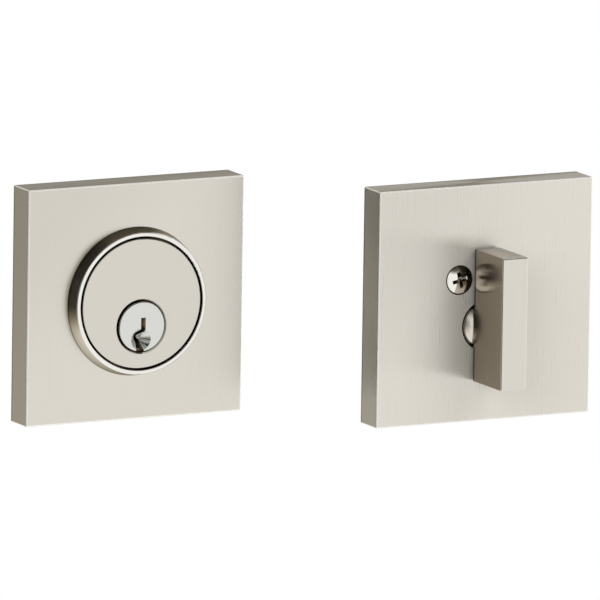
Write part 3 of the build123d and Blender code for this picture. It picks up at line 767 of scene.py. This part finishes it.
class HiddenMetalLook(bpy.types.PropertyGroup):
    """Metals and nylon behind the trims."""

    brass: FloatVectorProperty(
        name="Brass", description="Bare brass", subtype="COLOR", size=3, min=0.0, max=1.0,
        default=(0.72, 0.50, 0.22),
    )
    stained: FloatVectorProperty(
        name="Stained brass", description="Brass where the plate stops", subtype="COLOR", size=3,
        min=0.0, max=1.0, default=(0.42, 0.31, 0.19),
    )
    zinc_cool: FloatVectorProperty(
        name="Zinc", description="Zinc plate", subtype="COLOR", size=3, min=0.0, max=1.0,
        default=(0.56, 0.59, 0.62),
    )
    zinc_warm: FloatVectorProperty(
        name="Zinc cast", description="Warm cast on zinc plate", subtype="COLOR", size=3, min=0.0, max=1.0,
        default=(0.62, 0.60, 0.52),
    )
    spring: FloatVectorProperty(
        name="Spring steel", description="Springs, washer and clip", subtype="COLOR", size=3,
        min=0.0, max=1.0, default=(0.34, 0.335, 0.33),
    )
    nylon: FloatVectorProperty(
        name="Nylon", description="Thumbturn bush", subtype="COLOR", size=3, min=0.0, max=1.0,
        default=(0.80, 0.77, 0.68),
    )


class StageLook(bpy.types.PropertyGroup):
    """The camera, the flags round the trims and the lamps."""

    camera: FloatVectorProperty(
        name="Camera", description="Where the camera stands", subtype="TRANSLATION", unit="LENGTH", size=3,
        default=(-2.034, -4.0833, 0.8338),
    )
    heading: FloatProperty(
        name="Heading", description="Camera's turn to the right of straight ahead", subtype="ANGLE",
        default=math.radians(27.1075),
    )
    pitch: FloatProperty(
        name="Pitch", description="Camera's tilt below level", subtype="ANGLE", default=math.radians(10.365),
    )
    roll: FloatProperty(
        name="Roll", description="Camera's lean", subtype="ANGLE", default=math.radians(0.886),
    )
    lens: FloatProperty(
        name="Lens", description="Focal length", subtype="DISTANCE_CAMERA", min=1.0, default=1000.0,
    )
    drop: FloatProperty(
        name="Floor drop", description="Floor below the trims' lowest edge", unit="LENGTH", default=0.2,
    )
    flag_colour: FloatVectorProperty(
        name="Flag colour", description="Cast of the flags in front", subtype="COLOR", size=3,
        min=0.0, max=1.0, default=(1.0, 0.86, 0.69),
    )
    back_colour: FloatVectorProperty(
        name="Back colour", description="Cast of the two flags behind", subtype="COLOR", size=3,
        min=0.0, max=1.0, default=(1.0, 0.94, 0.82),
    )
    window: FloatProperty(
        name="Window", description="Strength of the lit panel to the right", min=0.0, default=1.3,
    )
    side_flag: FloatProperty(
        name="Side flag", description="Tone of the flag to the left of the camera", subtype="FACTOR",
        min=0.0, max=1.0, default=0.5,
    )
    back_flag: FloatProperty(
        name="Back flags", description="Tone of the two flags behind", subtype="FACTOR", min=0.0, max=1.0,
        default=0.36,
    )
    top_flag: FloatProperty(
        name="Top flag", description="Tone of the flag above the camera", subtype="FACTOR", min=0.0, max=1.0,
        default=0.1,
    )
    corner_flag: FloatProperty(
        name="Corner flag", description="Tone of the flag at the upper left", subtype="FACTOR",
        min=0.0, max=1.0, default=0.02,
    )
    lamp_power: FloatProperty(
        name="Lamp power", description="Power of each soft lamp", unit="POWER", min=0.0, default=12.0,
    )


class DeadboltLook(bpy.types.PropertyGroup):
    """Everything a user would change."""

    satin: PointerProperty(type=SatinNickelLook)
    bright: PointerProperty(type=BrightNickelLook)
    hidden: PointerProperty(type=HiddenMetalLook)
    stage: PointerProperty(type=StageLook)


# Pieces

class DEADBOLT_OT_trims(bpy.types.Operator):
    """Brush both square trims"""

    bl_idname = "deadbolt.trims"
    bl_label = "Square trims"

    def execute(self, context):
        satin = context.scene.deadbolt.satin
        exterior = satin_trim(
            "satin_exterior", "exterior_rosette", [], satin,
            blur=satin.roughness, spread=satin.exterior_anisotropy, tone=satin.exterior_tone,
        )
        dress("exterior_rosette", exterior)
        holes = [(TURN_AXIS, HUB_HOLE)] + [(axis, SCREW_HOLE) for axis in SCREW_AXES]
        interior = satin_trim(
            "satin_interior", "interior_rosette", holes, satin,
            blur=satin.interior_roughness, spread=satin.anisotropy, tone=satin.interior_tone,
            matte=satin.interior_matte, line_share=satin.interior_lines,
        )
        dress("interior_rosette", interior)
        return {"FINISHED"}


class DEADBOLT_OT_cylinder(bpy.types.Operator):
    """Finish the guard collar, the cylinder and its plug"""

    bl_idname = "deadbolt.cylinder"
    bl_label = "Key cylinder"

    def execute(self, context):
        look = context.scene.deadbolt
        dress("cylinder_collar", satin_collar("satin_collar", look.satin))
        dress("cylinder_body", satin_face("satin_cylinder", look))
        dress("key_plug", bright_plug("bright_plug", look))
        return {"FINISHED"}


class DEADBOLT_OT_pin_stacks(bpy.types.Operator):
    """Finish the pins, springs, chamber cover and plug cap"""

    bl_idname = "deadbolt.pin_stacks"
    bl_label = "Pin stacks"

    def execute(self, context):
        look = context.scene.deadbolt
        metal = brass("machined_brass", look)
        for node in ("key_pins", "driver_pins", "chamber_cover", "plug_cap"):
            dress(node, metal)
        dress("pin_springs", spring_steel("pin_spring_steel", look))
        return {"FINISHED"}


class DEADBOLT_OT_thumbturn(bpy.types.Operator):
    """Brush the thumbturn and finish its bearing"""

    bl_idname = "deadbolt.thumbturn"
    bl_label = "Thumbturn"

    def execute(self, context):
        look = context.scene.deadbolt
        dress("thumbturn", satin_grip("satin_thumbturn", look.satin))
        dress("turn_bushing", nylon("natural_nylon", look))
        steel = spring_steel("turn_spring_steel", look)
        for node in ("spring_washer", "retaining_clip"):
            dress(node, steel)
        return {"FINISHED"}


class DEADBOLT_OT_backing(bpy.types.Operator):
    """Finish the backing plates, posts, tailpiece and small screws"""

    bl_idname = "deadbolt.backing"
    bl_label = "Backing"

    def execute(self, context):
        look = context.scene.deadbolt
        steel = zinc_steel("zinc_plated_steel", look)
        for node in (
            "tailpiece",
            "exterior_backing_plate",
            "interior_backing_plate",
            "cylinder_screws",
            "plate_screws",
        ):
            dress(node, steel)
        bore = POST_MOUNT["dims"]["hole_r_mm"] * MM
        dress("mounting_posts", zinc_steel("tapped_steel", look, [(axis, bore) for axis in POST_AXES]))
        return {"FINISHED"}


class DEADBOLT_OT_mounting_screws(bpy.types.Operator):
    """Cut the threads of the long mounting screws, turn their crosses and polish them"""

    bl_idname = "deadbolt.mounting_screws"
    bl_label = "Mounting screws"

    def execute(self, context):
        node = frame["nodes"]["mounting_screws"]
        door_face = TURN_AXIS.y
        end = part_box("mounting_screws")[1].y
        tip = end - SCREW_TIP
        bm = bmesh.new()
        copy_faces(bm, node.data, door_face - LEVEL_SLACK)
        for axis in SCREW_AXES:
            head = [vert for vert in bm.verts if abs(vert.co.x - axis.x) < SCREW_SPACING / 2]
            bmesh.ops.rotate(bm, verts=head, cent=axis, matrix=Matrix.Rotation(CROSS_TURN, 3, "Y"))
            thread(bm, axis, door_face - THREAD_PITCH, tip, THREAD_STEPS)
            turned_band(bm, axis, [(SCREW_CORE, tip), (SCREW_CORE - TIP_TAPER, end)], THREAD_STEPS)
        material = polished_nickel("polished_screw", context.scene.deadbolt)
        screws = new_piece("threaded_screws", bm, material, SHARP_EDGE)
        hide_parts("mounting_screws")
        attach(screws, "trims")
        return {"FINISHED"}


# Studio

def plain_material(name):
    """An empty material: its node tree, its output node and the place of each point."""
    material = bpy.data.materials.new(name)
    material.use_nodes = True
    tree = material.node_tree
    tree.nodes.clear()
    output = tree.nodes.new("ShaderNodeOutputMaterial")
    place = Shade(tree, tree.nodes.new("ShaderNodeTexCoord").outputs["Object"])
    return material, output, place


def stage_disc(name, place, towards, radius, material):
    """A flat disc of the stage that faces a point."""
    bm = bmesh.new()
    bmesh.ops.create_circle(bm, cap_ends=True, radius=radius, segments=DISC_STEPS)
    mesh = bpy.data.meshes.new(name)
    bm.to_mesh(mesh)
    bm.free()
    mesh.materials.append(material)
    disc = bpy.data.objects.new(name, mesh)
    disc.location = place
    disc.rotation_euler = (towards - place).to_track_quat("Z", "Y").to_euler()
    bpy.context.scene.collection.objects.link(disc)
    return disc


def soft_flag(name, towards, distance, inner, outer, top, bottom, fade=(-0.2, 0.2), lean=0.0, strength=1.0):
    """A round flag or lit panel with a soft rim, seen only in reflections.

    Its colour goes from bottom to top over the two levels of fade, in metres from its centre,
    and lean turns that change about the flag's centre.
    """
    material, output, place = plain_material(name)
    x, y, _ = parts(place)
    level = x * math.sin(lean) + y * math.cos(lean)
    colour = blend(step(level, *fade), bottom, top)
    glow = colour.add("ShaderNodeEmission", {}, {"Color": colour, "Strength": strength})
    clear = colour.add("ShaderNodeBsdfTransparent", {}, {})
    rim = step(length(place), inner, outer)
    mixed = rim.add("ShaderNodeMixShader", {}, {0: rim, 1: glow, 2: clear})
    mixed.feed(output.inputs["Surface"], mixed)
    flag = stage_disc(name, MIDDLE + Vector(towards).normalized() * distance, MIDDLE, outer, material)
    flag.visible_camera = False
    flag.visible_diffuse = False
    flag.visible_shadow = False


def white_world():
    """White for what the camera and reflections see, a softer grey for what lights the trims."""
    world = bpy.data.worlds.new("white_studio")
    bpy.context.scene.world = world
    world.use_nodes = True
    tree = world.node_tree
    tree.nodes.clear()
    output = tree.nodes.new("ShaderNodeOutputWorld")
    path = tree.nodes.new("ShaderNodeLightPath")
    camera = Shade(tree, path.outputs["Is Camera Ray"])
    glossy = Shade(tree, path.outputs["Is Glossy Ray"])
    through = Shade(tree, path.outputs["Is Transmission Ray"])
    seen = larger(larger(camera, glossy), through)
    light = seen.add("ShaderNodeBackground", {}, {"Color": opaque(WORLD_LIGHT), "Strength": 1.0})
    white = seen.add("ShaderNodeBackground", {}, {"Color": opaque(WHITE), "Strength": 1.0})
    mixed = seen.add("ShaderNodeMixShader", {}, {0: seen, 1: light, 2: white})
    mixed.feed(output.inputs["Surface"], mixed)


def pale_floor(drop, radius):
    """A pale disc under the trims that fades out at its rim."""
    material, output, place = plain_material("pale_floor")
    tone = mottled(noise(place / FLOOR_CLOUD), WHITE, 0.86, 0.9)
    pale = tone.add("ShaderNodeBsdfDiffuse", {}, {"Color": tone})
    white = tone.add("ShaderNodeEmission", {}, {"Color": opaque(WHITE), "Strength": 1.0})
    clear = tone.add("ShaderNodeBsdfTransparent", {}, {})
    mirrored = tone.add("ShaderNodeLightPath", {}, {}, "Is Glossy Ray")
    pale = mirrored.add("ShaderNodeMixShader", {}, {0: mirrored, 1: pale, 2: white})
    rim = step(length(place), 0.5 * radius, radius)
    mixed = rim.add("ShaderNodeMixShader", {}, {0: rim, 1: pale, 2: clear})
    mixed.feed(output.inputs["Surface"], mixed)
    place = Vector((MIDDLE.x, MIDDLE.y, CAD_BOX[0][2] - drop))
    stage_disc("floor", place, place + Vector((0, 0, 1)), radius, material)


def soft_lamp(name, place, power):
    """A square area lamp that points at the middle of the set."""
    data = bpy.data.lights.new(name, "AREA")
    data.shape = "SQUARE"
    data.size = LAMP_SIZE
    data.energy = power
    lamp = bpy.data.objects.new(name, data)
    lamp.location = place
    lamp.rotation_euler = (MIDDLE - lamp.location).to_track_quat("-Z", "Y").to_euler()
    lamp.visible_glossy = False
    bpy.context.scene.collection.objects.link(lamp)


def set_flags(look):
    """The lit panel and the flags that the metal mirrors."""
    above = tint(look.flag_colour, look.top_flag)
    corner = tint(look.flag_colour, look.corner_flag)
    beside = tint(look.flag_colour, look.side_flag)
    behind = tint(look.back_colour, 0.8 * look.back_flag)
    behind_low = tint(look.back_colour, 1.3 * look.back_flag)
    soft_flag(
        "window", towards=(0.87, -0.5, 0.0), distance=0.8, inner=0.1, outer=0.45,
        top=WHITE, bottom=WHITE, strength=look.window,
    )
    soft_flag(
        "top_flag", towards=(0.15, -0.6, 0.79), distance=0.8, inner=0.52, outer=0.83,
        top=above, bottom=above,
    )
    soft_flag(
        "corner_flag", towards=(-0.62, -0.5, 0.6), distance=0.75, inner=0.35, outer=0.55,
        top=corner, bottom=corner,
    )
    soft_flag(
        "side_flag", towards=(-0.75, -0.65, -0.1), distance=0.7, inner=0.34, outer=0.7,
        top=corner, bottom=beside, fade=(-0.3, -0.02), lean=math.radians(8),
    )
    soft_flag(
        "left_flag", towards=(-0.44, 0.88, -0.18), distance=0.6, inner=0.2, outer=0.42,
        top=behind, bottom=behind_low,
    )
    soft_flag(
        "right_flag", towards=(0.44, 0.88, 0.18), distance=0.6, inner=0.16, outer=0.34,
        top=behind, bottom=behind,
    )


def set_camera(scene, look):
    """A long lens that looks down at the trims from the left."""
    data = bpy.data.cameras.new("camera")
    data.lens = look.lens
    data.clip_start = CLIP_START
    data.clip_end = CLIP_END
    camera = bpy.data.objects.new("camera", data)
    turn = Matrix.Rotation(-look.heading, 4, "Z")
    tilt = Matrix.Rotation(math.pi / 2 - look.pitch, 4, "X")
    roll = Matrix.Rotation(look.roll, 4, "Z")
    camera.matrix_world = Matrix.Translation(look.camera) @ turn @ tilt @ roll
    scene.collection.objects.link(camera)
    scene.camera = camera


class DEADBOLT_OT_stage(bpy.types.Operator):
    """Set up the floor, the flags, the lamps and the camera"""

    bl_idname = "deadbolt.stage"
    bl_label = "Stage"

    def execute(self, context):
        look = context.scene.deadbolt.stage
        context.scene.view_settings.view_transform = "Standard"
        white_world()
        pale_floor(look.drop, FLOOR_RADIUS)
        set_flags(look)
        soft_lamp("key_lamp", KEY_LAMP, look.lamp_power)
        soft_lamp("fill_lamp", FILL_LAMP, look.lamp_power)
        set_camera(context.scene, look)
        return {"FINISHED"}


class DEADBOLT_PT_sidebar(bpy.types.Panel):
    """Deadbolt looks and builders"""

    bl_idname = "DEADBOLT_PT_sidebar"
    bl_label = "Deadbolt"
    bl_space_type = "VIEW_3D"
    bl_region_type = "UI"
    bl_category = "Deadbolt"

    def draw(self, context):
        look = context.scene.deadbolt
        for group in (look.satin, look.bright, look.hidden, look.stage):
            box = self.layout.box()
            for name in group.__annotations__:
                box.prop(group, name)
        for operator in OPERATORS:
            self.layout.operator(operator.bl_idname)


OPERATORS = (
    DEADBOLT_OT_trims,
    DEADBOLT_OT_cylinder,
    DEADBOLT_OT_pin_stacks,
    DEADBOLT_OT_thumbturn,
    DEADBOLT_OT_backing,
    DEADBOLT_OT_mounting_screws,
    DEADBOLT_OT_stage,
)
CLASSES = (
    SatinNickelLook,
    BrightNickelLook,
    HiddenMetalLook,
    StageLook,
    DeadboltLook,
    *OPERATORS,
    DEADBOLT_PT_sidebar,
)


def register():
    for item in CLASSES:
        bpy.utils.register_class(item)
    bpy.types.Scene.deadbolt = PointerProperty(type=DeadboltLook)


def unregister():
    del bpy.types.Scene.deadbolt
    for item in reversed(CLASSES):
        bpy.utils.unregister_class(item)


def main():
    register()
    bpy.ops.deadbolt.trims()
    bpy.ops.deadbolt.cylinder()
    bpy.ops.deadbolt.pin_stacks()
    bpy.ops.deadbolt.thumbturn()
    bpy.ops.deadbolt.backing()
    bpy.ops.deadbolt.mounting_screws()
    bpy.ops.deadbolt.stage()


if __name__ == "__main__":
    main()
